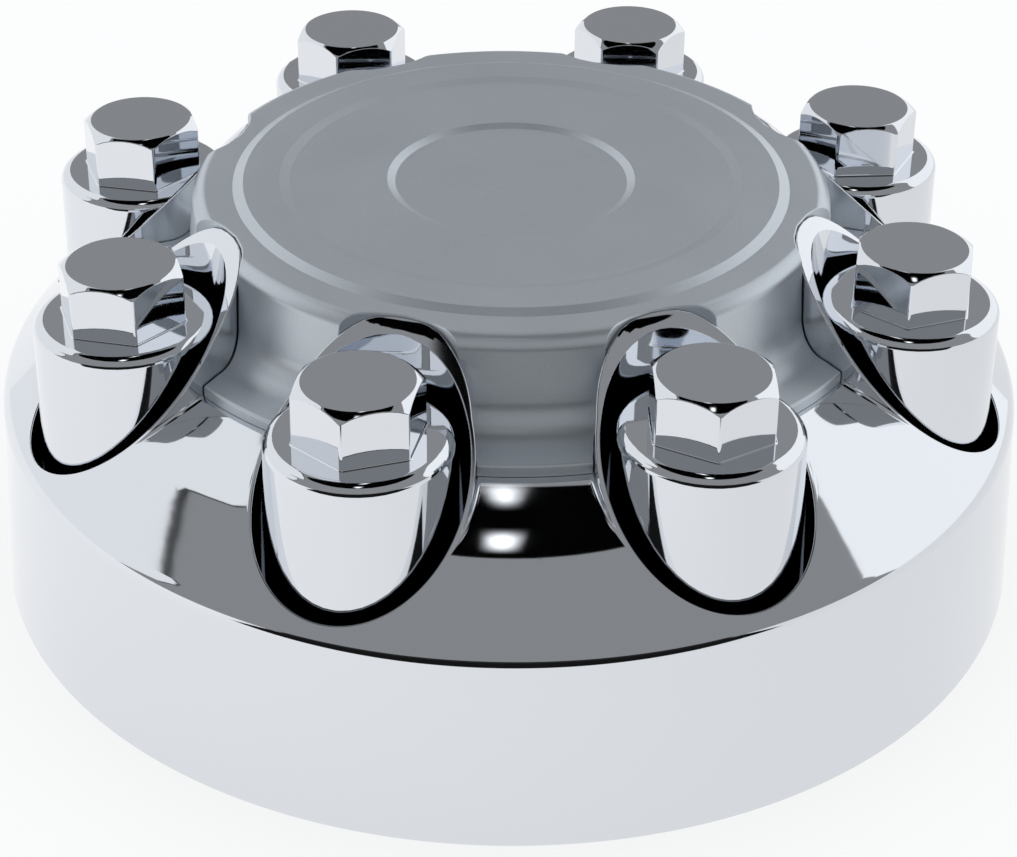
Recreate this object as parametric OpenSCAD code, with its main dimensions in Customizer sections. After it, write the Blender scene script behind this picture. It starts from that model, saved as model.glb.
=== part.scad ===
// Chrome hub cover for the front axle of a truck: a drafted skirt under a coned face with eight
// deep wells, a satin centre cap scalloped round those wells, and eight separate nut covers.
// The hub's axis is Z, the skirt's lower rim stands on z = 0, and the nut covers point up.

/* [Stud circle] */
// Diameter of the circle that the wheel studs stand on
stud_circle_d = 275; // [270:0.5:280]

/* [Skirt and face] */
// Diameter of the skirt's lower rim
skirt_d = 357; // [356:0.5:362]
// Height of the corner where the skirt would meet the coned face
shoulder_z = 68.5; // [66:0.5:72]
// Draft of the skirt, so that it narrows upward
skirt_draft = 3.2; // [2:0.1:4]
// Rounding of the shoulder between skirt and face
shoulder_round = 9; // [6:0.5:10]
// Slope of the coned face from the level
face_slope = 43.1; // [42:0.1:44]
// Height of the ledge that the centre cap's brim stands on
ledge_z = 101.5; // [100:0.5:102.5]
// Fall of the ledge from the brim outward
ledge_fall = 9; // [8:0.5:11]
// Rounding where the ledge bends down into the face
ledge_round = 48; // [30:1:50]
// Wall of the moulded cover
wall = 3; // [2.5:0.1:3.5]
// Height of the collar that stands up round the opening for the hub
collar_h = 9; // [6:1:14]
// Clearance between that collar and the cap's walls round the wells
collar_gap = 0.6; // [0.4:0.1:1]

/* [Wells] */
// Radius of a well
well_r = 33.2; // [32.6:0.1:34]
// Wall of the tube round a well
well_wall = 1.5; // [1.4:0.1:2]
// Height of a well's floor, where its nut cover stands
floor_z = 48; // [44:1:54]
// Radius of the hole for the lug nut in a well's floor
lug_hole_r = 23.5; // [22:0.1:24.5]
// Radius of the crescent lip on a well's inner side
lip_r = 31; // [29:0.5:32]
// Width of the crescent lip where it is widest
lip_w = 5.5; // [4.5:0.1:6]
// Step down from the cap's top to the lips
lip_drop = 0.4; // [0.2:0.1:1]
// Rounding where a tube's sloped rim turns level into its lip
lip_round = 8; // [4:1:12]

/* [Centre cap] */
// Diameter of the cap's brim
brim_d = 254; // [250:0.2:256]
// Height of the brim's upright edge
brim_edge_h = 3.8; // [3:0.1:4.5]
// Rounding of the brim's upper edge
brim_round = 1; // [0.5:0.1:1.5]
// Diameter of the cap where its upright wall would meet the flat top
cap_top_d = 213; // [210:0.5:216]
// Height of the flat rim of the cap's top
cap_top_z = 137.7; // [137:0.1:139]
// Rounding of the cap's upper edge
cap_edge_round = 5; // [3:0.5:6]
// Radius at which the cap's wall would turn into the flare
flare_r = 109.2; // [108.5:0.1:110]
// Height at which the cap's wall would turn into the flare
flare_z = 107.6; // [106.8:0.2:109]
// Rounding of the concave flare above the brim
flare_round = 6; // [4:0.5:8]
// Wall of the cap
cap_wall = 2.6; // [2:0.1:3]
// Clearance between the cap and the wells' tubes
cap_gap = 0.3; // [0.2:0.05:0.5]
// Clearance between the cap's spigot and the hub collar
spigot_gap = 0.2; // [0.1:0.05:0.4]
// Wall of the cap's spigot
spigot_wall = 2; // [1.6:0.1:2.6]

/* [Rings on the cap] */
// Radius of the bare centre disc
disc_r = 38.8; // [36:0.2:44]
// Width and rise of the ring step round that disc
disc_step = [2.8, 1.1]; // [0.5:0.1:4]
// Radius of the panel inside the middle ring step
panel_r = 74.1; // [70:0.2:78]
// Width and rise of the middle ring step
panel_step = [3.5, 0.8]; // [0.5:0.1:4]
// Radius of the band inside the outer ring step
band_r = 89.6; // [86:0.2:94]
// Width and fall of the outer ring step
band_step = [3.5, 1.3]; // [0.5:0.1:4]

/* [Nut covers] */
// Radius of a nut cover at its foot
body_foot_r = 30; // [29.5:0.1:30.5]
// Radius of a nut cover at its shoulder
body_top_r = 29; // [28.5:0.1:29.4]
// Height of the shoulder ring above the skirt's rim
body_top_z = 118.4; // [116:0.2:120]
// Rounding of the shoulder's edge
body_round = 2.2; // [1.5:0.1:3]
// Distance across the flats of the hexagon crown
hex_af = 36.4; // [35:0.1:37]
// Height of the crown's flat top
crown_z = 137; // [136:0.1:138]
// Radius of the crown's flat top
crown_flat_r = 17.3; // [16:0.1:17.6]
// Depth of the rounded chamfer at the crown's corners
crown_chamfer = 3; // [2:0.1:4]
// Bulge of that chamfer past a straight cut
crown_bulge = 0.4; // [0.3:0.1:0.7]
// Wall of a nut cover
nut_wall = 2.8; // [2.4:0.1:3]
// Thickness of the crown's top
crown_wall = 3.5; // [2.5:0.1:4]
// Radius of the hollow in the crown for the stud's end
stud_hollow_r = 15; // [13:0.1:15.3]
// Rounding at the top of the wide hollow
hollow_round = 2; // [1:0.5:4]
// Turn of each crown in degrees, as each cover was pushed on, from the first well round
crown_turns = [7, 36, 39, 38, 47, 22, 8, 22]; // [0:1:60]

/* [Hidden] */
$fn = 96;
large_fn = 180;
arc_steps = 8;
// Studs and their covers, as many as NODES lists
stud_count = 8;
stud_r = stud_circle_d / 2;
stud_angle = 360 / stud_count;
first_stud = -90 - stud_angle / 2;
skirt_r = skirt_d / 2;
shoulder_r = skirt_r - shoulder_z * tan(skirt_draft);
brim_r = brim_d / 2;
// The ledge is level under the brim and falls from just inside the brim's edge
ledge_level_r = brim_r - 1;
tube_r = well_r + well_wall;
lip_centre_r = stud_r - well_r - lip_w + lip_r;
lip_top_z = cap_top_z - lip_drop;
// The collar stands just inside the cap's scalloped walls, and the hub comes through it
collar_r = stud_r - well_r - lip_w - cap_gap - cap_wall - collar_gap;
hub_opening_r = collar_r - wall;
spigot_r = hub_opening_r - spigot_gap;
// Clear height between the spigot's foot and the ledge
spigot_rise = 2;
hex_corner_r = hex_af / 2 / cos(30);
hollow_top_z = crown_z - crown_wall;
body_ceiling_z = body_top_z - nut_wall;
// How far a cutting solid reaches past what it cuts, and a joined one into what it joins
reach = 1;
// Taller than anything here
sky = 200;
chrome = [0.84, 0.86, 0.89];
satin = [0.5, 0.52, 0.54];

function unit(v) = v / norm(v);
function quarter_turn(v) = [-v.y, v.x];
function flat(p) = [p.x, p.y];
function reversed(list) = [for (i = [len(list) - 1:-1:0]) list[i]];

// Points of the arc of radius r that rounds corner b between its neighbours a and c
function corner_arc(a, b, c, r) =
    let (to_a = unit(a - b), to_c = unit(c - b),
         half = acos(to_a * to_c) / 2,
         centre = b + unit(to_a + to_c) * r / sin(half),
         first = b + to_a * r / tan(half) - centre,
         last = b + to_c * r / tan(half) - centre,
         from = atan2(first.y, first.x),
         raw = atan2(last.y, last.x) - from,
         sweep = raw > 180 ? raw - 360 : raw < -180 ? raw + 360 : raw)
    [for (i = [0:arc_steps])
        centre + r * [cos(from + sweep * i / arc_steps), sin(from + sweep * i / arc_steps)]];

// An open outline from corners written as [radius, height, rounding]
function rounded(corners) =
    [for (i = [0:len(corners) - 1])
        for (p = i > 0 && i < len(corners) - 1 && corners[i].z > 0
                ? corner_arc(flat(corners[i - 1]), flat(corners[i]), flat(corners[i + 1]), corners[i].z)
                : [flat(corners[i])]) p];

// The same corners moved by t to the right of their direction of travel, with roundings to match
// and a level end
function moved(corners, t) =
    let (n = len(corners))
    [for (i = [0:n - 1])
        let (b = flat(corners[i]),
             before = i > 0 ? unit(b - flat(corners[i - 1])) : unit(flat(corners[i + 1]) - b),
             after = i < n - 1 ? unit(flat(corners[i + 1]) - b) : before,
             side = i < n - 1 ? -unit(quarter_turn(before) + quarter_turn(after)) : [-1, 0],
             shift = t / (side * -quarter_turn(before)),
             bend = before.x * after.y - before.y * after.x,
             round = corners[i].z == 0 ? 0 : max(corners[i].z + sign(bend) * t, 0.5))
        [b.x + side.x * shift, b.y + side.y * shift, round]];

// A closed band of thickness t on the right of an outline
function band(corners, t) = concat(rounded(corners), reversed(rounded(moved(corners, t))));

// Height of the coned face at radius r, and radius of that face at height z
function face_z(r) = shoulder_z + (shoulder_r - r) * tan(face_slope);
function face_r(z) = shoulder_r - (z - shoulder_z) / tan(face_slope);

// Radius at which the falling ledge would meet the coned face, or where it steps down to a lower one
ledge_meet_r = (face_z(0) - ledge_z - ledge_level_r * tan(ledge_fall)) / (tan(face_slope) - tan(ledge_fall));
ledge_out_r = max(ledge_meet_r, ledge_level_r);
// Rounding of the ledge, held to what its falling part has room for
ledge_fit = 0.92 * (ledge_out_r - ledge_level_r) / cos(ledge_fall) / tan((face_slope - ledge_fall) / 2);
ledge_arc_r = min(ledge_round, ledge_fit);

module at_stud(i) {
    rotate(first_stud + stud_angle * (i - 1)) translate([stud_r, 0, 0]) children();
}

module at_studs() {
    for (i = [1:stud_count]) at_stud(i) children();
}

// A solid of revolution under an outline that starts on the axis, down to foot_z
module revolved(corners, foot_z, fn = $fn) {
    rotate_extrude($fn = fn) polygon(concat(rounded(corners), [[0, foot_z]]));
}

// Everything below the coned face, from the lips beside the cap's top out past skirt and tubes
module under_face() {
    edge_r = max(shoulder_r, stud_r + tube_r) + wall;
    revolved([[0, lip_top_z, 0],
              [face_r(lip_top_z), lip_top_z, lip_round],
              [edge_r, face_z(edge_r), 0],
              [edge_r, 0, 0]], 0, large_fn);
}

// Column over a well: its tube from tube_z up and its crescent lip from lip_z up, grown by extra
module well_column(tube_z, lip_z, extra = 0) {
    translate([0, 0, tube_z]) cylinder(r = tube_r + extra, h = sky);
    translate([lip_centre_r - stud_r, 0, lip_z]) cylinder(r = lip_r + extra, h = sky);
}

// Corners of the cover's outer face, from the top of the hub collar to the skirt's rim
cover_corners = [
    [collar_r, ledge_z + collar_h, 0],
    [collar_r, ledge_z, collar_gap / 2],
    [ledge_level_r, ledge_z, 0],
    [ledge_out_r, face_z(ledge_out_r), ledge_arc_r],
    [shoulder_r, shoulder_z, shoulder_round],
    [skirt_r, 0, 0]];

module cover_skin() {
    rotate_extrude($fn = large_fn) polygon(band(cover_corners, wall));
}

module cover() {
    color(chrome)
    difference() {
        union() {
            cover_skin();
            intersection() {
                at_studs() well_column(floor_z - wall, ledge_z - wall / 2);
                under_face();
            }
        }
        at_studs() translate([0, 0, floor_z]) cylinder(r = well_r, h = sky);
        at_studs() cylinder(r = lug_hole_r, h = sky);
    }
}

// Heights of the cap's top, from its rim inward over the ring steps
band_z = cap_top_z + band_step[1];
panel_z = band_z - panel_step[1];
disc_z = panel_z - disc_step[1];
ceiling_z = disc_z - cap_wall;

// Corners of the cap's outer face, from the middle of its top to the foot of its brim
cap_corners = [
    [0, disc_z, 0],
    [disc_r, disc_z, 0],
    [disc_r + disc_step[0], panel_z, 0],
    [panel_r, panel_z, 0],
    [panel_r + panel_step[0], band_z, 0],
    [band_r, band_z, 0],
    [band_r + band_step[0], cap_top_z, 0],
    [cap_top_d / 2, cap_top_z, cap_edge_round],
    [flare_r, flare_z, flare_round],
    [brim_r, ledge_z + brim_edge_h, brim_round],
    [brim_r, ledge_z, 0]];

// The cap's inside follows its outside, with a level ceiling under the ring steps
cap_inner_corners = [
    [0, ceiling_z, 0],
    [cap_top_d / 2 - cap_wall, ceiling_z, cap_edge_round - cap_wall],
    [flare_r - cap_wall, flare_z - cap_wall, flare_round + cap_wall],
    [brim_r - cap_wall, ledge_z + brim_edge_h - cap_wall, 0],
    [brim_r - cap_wall, ledge_z - reach, 0]];

module cap_shell() {
    difference() {
        revolved(cap_corners, ledge_z, large_fn);
        at_studs() well_column(floor_z, floor_z, cap_gap);
        difference() {
            revolved(cap_inner_corners, ledge_z - reach, large_fn);
            at_studs() well_column(floor_z, floor_z, cap_gap + cap_wall);
        }
    }
}

// Ring that drops into the collar round the hub opening
module spigot() {
    foot_z = ledge_z + spigot_rise;
    translate([0, 0, foot_z]) difference() {
        cylinder(r = spigot_r, h = ceiling_z + reach - foot_z, $fn = large_fn);
        translate([0, 0, -reach]) cylinder(r = spigot_r - spigot_wall, h = sky, $fn = large_fn);
    }
}

module centre_cap() {
    color(satin) {
        cap_shell();
        spigot();
    }
}

module nut_body_solid() {
    revolved([[0, body_top_z, 0],
              [body_top_r, body_top_z, body_round],
              [body_foot_r, floor_z, 0]], floor_z);
}

module nut_crown(turn_by) {
    foot_z = body_top_z - reach;
    edge_r = hex_corner_r + reach;
    chamfer_mid_r = (hex_corner_r + crown_flat_r) / 2;
    intersection() {
        rotate(turn_by) translate([0, 0, foot_z])
            cylinder(r = hex_corner_r, h = crown_z - foot_z, $fn = 6);
        revolved([[0, crown_z, 0],
                  [crown_flat_r, crown_z, 0],
                  [chamfer_mid_r + crown_bulge, crown_z - crown_chamfer / 2 + crown_bulge, crown_chamfer],
                  [hex_corner_r, crown_z - crown_chamfer, 0],
                  [edge_r, crown_z - 2 * crown_chamfer, 0],
                  [edge_r, foot_z, 0]], foot_z);
    }
}

// Hollow inside a nut cover: a wide bore for the lug nut and a narrower one for the stud's end
module nut_hollow() {
    foot_z = floor_z - reach;
    revolved([[0, hollow_top_z, 0],
              [stud_hollow_r, hollow_top_z, 0],
              [stud_hollow_r, body_ceiling_z, 0],
              [body_top_r - nut_wall, body_ceiling_z, hollow_round],
              [body_foot_r - nut_wall, foot_z, 0]], foot_z);
}

module nut_cover(i) {
    color(chrome) at_stud(i) difference() {
        union() {
            nut_body_solid();
            nut_crown(crown_turns[i - 1]);
        }
        nut_hollow();
    }
}

cover();
centre_cap();
for (i = [1:stud_count]) nut_cover(i);
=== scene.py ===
import math

import bpy
import numpy as np
from bpy.props import FloatProperty, FloatVectorProperty, PointerProperty
from bpy.types import Operator, Panel, PropertyGroup
from mathutils import Matrix, Vector


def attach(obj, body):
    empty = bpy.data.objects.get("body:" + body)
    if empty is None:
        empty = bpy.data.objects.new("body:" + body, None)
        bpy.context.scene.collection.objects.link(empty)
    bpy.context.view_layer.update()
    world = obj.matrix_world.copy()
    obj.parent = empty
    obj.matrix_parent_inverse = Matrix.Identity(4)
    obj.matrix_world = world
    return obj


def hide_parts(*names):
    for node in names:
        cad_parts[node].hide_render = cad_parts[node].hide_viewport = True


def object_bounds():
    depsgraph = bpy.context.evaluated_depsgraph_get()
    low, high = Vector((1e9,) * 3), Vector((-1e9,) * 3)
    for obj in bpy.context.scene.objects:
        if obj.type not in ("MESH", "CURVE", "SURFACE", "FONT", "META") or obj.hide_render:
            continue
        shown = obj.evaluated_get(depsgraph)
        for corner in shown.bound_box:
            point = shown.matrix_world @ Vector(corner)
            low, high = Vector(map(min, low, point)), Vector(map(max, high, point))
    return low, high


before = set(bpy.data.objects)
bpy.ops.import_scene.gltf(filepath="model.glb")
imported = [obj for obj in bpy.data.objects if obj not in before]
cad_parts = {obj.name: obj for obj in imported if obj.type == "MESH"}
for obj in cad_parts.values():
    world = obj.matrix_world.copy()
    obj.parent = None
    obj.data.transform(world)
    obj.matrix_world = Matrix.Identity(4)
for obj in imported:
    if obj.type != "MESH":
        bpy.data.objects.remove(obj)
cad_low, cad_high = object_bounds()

bl_info = {
    "name": "Axle Hub Cover",
    "version": (1, 0, 0),
    "blender": (4, 5, 0),
    "location": "3D View > Sidebar > Hub Cover",
    "description": "Chrome hub cover with deep wells, separate nut covers and a satin centre cap",
    "category": "Object",
}

STUDS = 8
SECTOR = math.radians(360 / STUDS)
HALF_SECTOR = SECTOR / 2
FIRST_STUD = math.radians(-90) - HALF_SECTOR
BODY = "root"

# How far each nut cover's crown is turned, in degrees
CROWN_TURNS = (7, 36, 39, 38, 47, 22, 8, 22)

# Room between a tube's foot and the brim, and beyond the bend before a rim counts as flush
BRIM_GAP = 0.0003
FLUSH_MARGIN = 0.0001

# Columns along a sector's outer edge, side and inner edge
SECTOR_STEPS = (26, 38, 8)

# Points in one cell of this grid become one; the shift keeps round measures off the cells' edges
WELD = 1e-6
WELD_SHIFT = 0.317

# The least length that is divided by, how near two measures count as equal, and the angle either side
# over which a curve's slope is read
TINY = 1e-12
NEAR = 1e-9
SLOPE_STEP = 1e-4

# Sine of the steepest tilt that an outline's height is read at
SHEER = 0.9999

# Shares of a rounding: the lip's blend into its tube, the part of the shoulder's inner arc that stays
# with the face, the room left for the skirt's edge, and the nut cover's shoulder inside its ring
LIP_BLEND = 0.3
INNER_SHOULDER = 0.8
EDGE_ROOM = 1.2
RING_FIT = 0.98

# A tube's foot takes this share of the room up to the brim, and at least this much
FOOT_SHARE = 0.8
LEAST_FOOT = 0.0002

# The least rounding of the other edges, and the flat ring between the collar and the sectors
LEAST_ROUND = 0.0005
COLLAR_ROOM = 0.001

CAMERA_HEADING = math.radians(3.698)
CAMERA_PITCH = math.radians(32.452)
CAMERA_ROLL = math.radians(0.623)
CAMERA_DISTANCE, CAMERA_HEIGHT, CAMERA_LENS = 0.7772, 0.5323, 91.565
FLOOR_REACH = 12.0

# Painted dark reflection: only the plating sees the floor turn dark between these distances in front, and
# aside at this share of its way; to the camera the floor stays white there
PAINTED_DARK_FROM = (0.345, 0.36)
PAINTED_DARK_SPREAD = 1.1
PAINTED_DARK_BLUR = 0.02
SKY_GREY = 0.31
LAMP_STRENGTH = 2.4


# Properties

def length(name, description, millimetres):
    return FloatProperty(name=name, description=description, default=millimetres / 1000,
                         unit="LENGTH", precision=4)


def angle(name, description, degrees):
    return FloatProperty(name=name, description=description, default=math.radians(degrees),
                         subtype="ANGLE")


def colour(name, description, value):
    return FloatVectorProperty(name=name, description=description, default=value, size=3,
                               subtype="COLOR", min=0, max=1)


def factor(name, description, value):
    return FloatProperty(name=name, description=description, default=value,
                         subtype="FACTOR", min=0, max=1)


class HubCoverForm(PropertyGroup):
    stud_r: length("Stud circle", "Radius of the circle that the studs stand on", 137.5)
    skirt_r: length("Skirt", "Radius of the skirt's lower rim", 1000 * min(cad_high.x, cad_high.y))
    shoulder_z: length("Shoulder height", "Height where skirt and face would meet", 68.5)
    shoulder_round: length("Shoulder rounding", "Rounding between skirt and face", 9)
    skirt_draft: angle("Skirt draft", "Draft of the skirt", 3.2)
    face_slope: angle("Face slope", "Slope of the coned face", 43.1)
    ledge_z: length("Ledge height", "Height of the ledge under the cap's brim", 101.5)
    ledge_level_r: length("Ledge level part", "Radius where the ledge begins to fall", 126)
    ledge_fall: angle("Ledge fall", "Fall of the ledge outside the brim", 9)
    ledge_round: length("Ledge rounding", "Rounding where the ledge bends into the face", 48)
    wall: length("Wall", "Wall of the moulded cover", 3)
    collar_r: length("Collar", "Outer radius of the hub collar", 95.3)
    collar_h: length("Collar height", "Height of the hub collar over the ledge", 9)
    well_r: length("Well", "Radius of a well", 33.2)
    tube_r: length("Tube", "Outer radius of the tube round a well", 34.7)
    floor_z: length("Well floor", "Height of a well's floor", 48)
    lug_hole_r: length("Lug hole", "Radius of the hole in a well's floor", 23.5)
    lip_r: length("Lip", "Radius of the crescent lip", 31)
    lip_w: length("Lip width", "Width of the crescent lip at its widest", 5.5)
    lip_top_z: length("Lip height", "Height of the lip beside the cap's top", 137.3)
    lip_round: length("Lip rounding", "Rounding where the sloped rim turns into the lip", 8)
    rim_round: length("Rim rounding", "Rounding of a well's rim", 0.45)
    foot_round: length("Tube foot", "Rounding where a tube stands on the ledge", 1.5)
    edge_round: length("Edge rounding", "Rounding of the skirt's lower edges", 0.6)


class HubCapForm(PropertyGroup):
    brim_r: length("Brim", "Radius of the cap's brim", 127)
    brim_edge_h: length("Brim edge", "Height of the brim's upright edge", 3.8)
    brim_round: length("Brim rounding", "Rounding of the brim's upper edge", 1)
    top_r: length("Top", "Radius where the wall would meet the top", 106.5)
    top_z: length("Top height", "Height of the flat rim of the top", 137.7)
    edge_round: length("Edge rounding", "Rounding of the cap's upper edge", 5)
    flare_r: length("Flare radius", "Radius where the wall would turn into the flare", 109.2)
    flare_z: length("Flare height", "Height where the wall would turn into the flare", 107.6)
    flare_round: length("Flare rounding", "Rounding of the flare", 11)
    wall: length("Wall", "Wall of the cap", 2.6)
    gap: length("Gap", "Clearance between cap and tubes", 0.3)
    cut_round: length("Cut rounding", "Rounding of the scallops' edges", 0.5)
    spigot_r: length("Spigot", "Outer radius of the spigot", 92.1)
    spigot_wall: length("Spigot wall", "Wall of the spigot", 2)
    spigot_rise: length("Spigot rise", "Height of the spigot's foot over the ledge", 2)
    disc_r: length("Disc", "Radius of the bare centre disc", 38.8)
    disc_step_w: length("Disc step width", "Width of the step round the disc", 2.8)
    disc_step_h: length("Disc step height", "Rise of the step round the disc", 1.1)
    panel_r: length("Panel", "Radius of the panel", 74.1)
    panel_step_w: length("Panel step width", "Width of the step round the panel", 3.5)
    panel_step_h: length("Panel step height", "Rise of the step round the panel", 0.8)
    band_r: length("Band", "Radius of the raised band", 89.6)
    band_step_w: length("Band step width", "Width of the step round the band", 3.5)
    band_step_h: length("Band step height", "Fall of the step round the band", 1.3)
    step_round: length("Step rounding", "Rounding of the ring steps", 0.7)


class HubNutForm(PropertyGroup):
    body_foot_r: length("Foot", "Radius of a nut cover at its foot", 30)
    body_top_r: length("Shoulder", "Radius of a nut cover at its shoulder", 29)
    body_top_z: length("Shoulder height", "Height of the shoulder ring", 118.4)
    body_round: length("Shoulder rounding", "Rounding of the shoulder's edge", 3.6)
    hex_flat_r: length("Hexagon", "Half the distance across the crown's flats", 18.2)
    hex_round: length("Hexagon rounding", "Rounding of the crown's upright edges", 1.3)
    crown_z: length("Crown height", "Height of the crown's flat top", 137)
    crown_flat_r: length("Crown flat", "Radius of the crown's flat top", 17.3)
    chamfer: length("Chamfer", "Depth of the rounded chamfer at the corners", 3)
    chamfer_round: length("Chamfer curve", "Radius of the chamfer's curve", 11.4)
    edge_round: length("Edge rounding", "Rounding of the crown's other edges", 0.35)
    foot_round: length("Crown foot", "Rounding where the crown stands on the shoulder", 0.6)
    wall: length("Wall", "Wall of a nut cover", 2.8)
    crown_wall: length("Crown wall", "Thickness of the crown's top", 3.5)
    hollow_r: length("Stud hollow", "Radius of the hollow for the stud's end", 15)


class HubCoverLook(PropertyGroup):
    chrome: colour("Chrome", "Colour of the bright plating", (0.72, 0.745, 0.785))
    chrome_roughness: factor("Chrome roughness", "Roughness of the bright plating", 0.03)
    satin: colour("Satin", "Colour of the satin plating", (0.54, 0.58, 0.62))
    satin_roughness: factor("Satin roughness", "Roughness of the satin plating", 0.36)
    floor: colour("Floor", "Colour of the floor", (0.97, 0.97, 0.97))


# Outlines of revolution, written as corners of radius, height and rounding

def unit(v):
    return v / np.linalg.norm(v)


def left_of(v):
    return np.array([-v[1], v[0]])


def arc_at(corners, k):
    """Start, end, centre, first direction and turn of the arc that rounds corner k"""
    a, b, c = (np.array(corner[:2], float) for corner in corners[k - 1:k + 2])
    rounding = corners[k][2]
    before, after = unit(b - a), unit(c - b)
    turn = math.atan2(before[0] * after[1] - before[1] * after[0], before @ after)
    reach = rounding * math.tan(abs(turn) / 2)
    start = b - before * reach
    centre = start + math.copysign(rounding, turn) * left_of(before)
    return start, b + after * reach, centre, before, turn


def outline(corners, arc_steps=8, leg_steps=1):
    """Points and unit directions along legs with rounded corners, sharp ones held twice"""
    places = [np.array(c[:2], float) for c in corners]
    found = [(places[0], unit(places[1] - places[0]))]

    def leg_to(end):
        start, direction = found[-1]
        for k in range(1, leg_steps):
            found.append((start + (end - start) * k / leg_steps, direction))

    for k, (a, b, c) in enumerate(zip(places, places[1:], places[2:]), 1):
        if corners[k][2]:
            start, _, centre, before, turn = arc_at(corners, k)
            leg_to(start)
            for bend in turn * np.arange(arc_steps + 1) / arc_steps:
                way = before * math.cos(bend) + left_of(before) * math.sin(bend)
                found.append((centre - math.copysign(corners[k][2], turn) * left_of(way), way))
        else:
            leg_to(b)
            found += [(b, unit(b - a)), (b, unit(c - b))]
    leg_to(places[-1])
    found.append((places[-1], unit(places[-1] - places[-2])))
    return np.array([p for p, _ in found]), np.array([d for _, d in found])


def height(corners, r):
    """Height and slope at radii r of an outline that runs outward and never overhangs"""
    z = np.zeros_like(r)
    slope = np.zeros_like(r)
    from_r = -math.inf
    for k, (a, b) in enumerate(zip(corners, corners[1:]), 1):
        steep = (b[1] - a[1]) / (b[0] - a[0])
        leg = r >= from_r
        z[leg] = a[1] + steep * (r[leg] - a[0])
        slope[leg] = steep
        from_r = b[0]
        if k + 1 < len(corners) and b[2]:
            start, end, centre, _, turn = arc_at(corners, k)
            arc = r >= start[0]
            side = math.copysign(1, -turn)
            across = np.clip(r[arc] - centre[0], -b[2] * SHEER, b[2] * SHEER)
            rise = np.sqrt(b[2] ** 2 - across ** 2)
            z[arc] = centre[1] + side * rise
            slope[arc] = -side * across / rise
            from_r = end[0]
    return z, slope


def skirt_corners(form):
    """Corners of the cover's outer face, from the hub collar's foot to the skirt's lower rim"""
    face = math.tan(form.face_slope)
    fall = math.tan(form.ledge_fall)
    shoulder_r = form.skirt_r - form.shoulder_z * math.tan(form.skirt_draft)
    ledge_out_r = ((form.shoulder_z + shoulder_r * face - form.ledge_z - form.ledge_level_r * fall)
                   / (face - fall))
    ledge_out_z = form.shoulder_z + (shoulder_r - ledge_out_r) * face
    return [(0, form.ledge_z, 0),
            (form.ledge_level_r, form.ledge_z, 0),
            (ledge_out_r, ledge_out_z, form.ledge_round),
            (shoulder_r, form.shoulder_z, form.shoulder_round),
            (form.skirt_r, 0, 0)]


def rim_corners(form):
    """Corners of the surface that the tubes' rims and lips lie on"""
    shoulder = skirt_corners(form)[3]
    lip_out_r = shoulder[0] - (form.lip_top_z - shoulder[1]) / math.tan(form.face_slope)
    return [(0, form.lip_top_z, 0),
            (lip_out_r, form.lip_top_z, form.lip_round),
            shoulder,
            (form.skirt_r, 0, 0)]


def inset(corners, t):
    """The same outline moved by t towards its inner side, which is on its right"""
    places = [np.array(c[:2], float) for c in corners]
    moved = []
    for k, (b, corner) in enumerate(zip(places, corners)):
        before = unit(b - places[k - 1]) if k else unit(places[1] - b)
        after = unit(places[k + 1] - b) if k + 1 < len(places) else before
        side = -unit(left_of(before) + left_of(after))
        bend = before[0] * after[1] - before[1] * after[0]
        place = b + side * t / (side @ -left_of(before))
        rounding = max(corner[2] + math.copysign(t, bend), LEAST_ROUND) if corner[2] else 0
        moved.append((*place, rounding))
    return moved


# Meshes with exact normals

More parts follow.
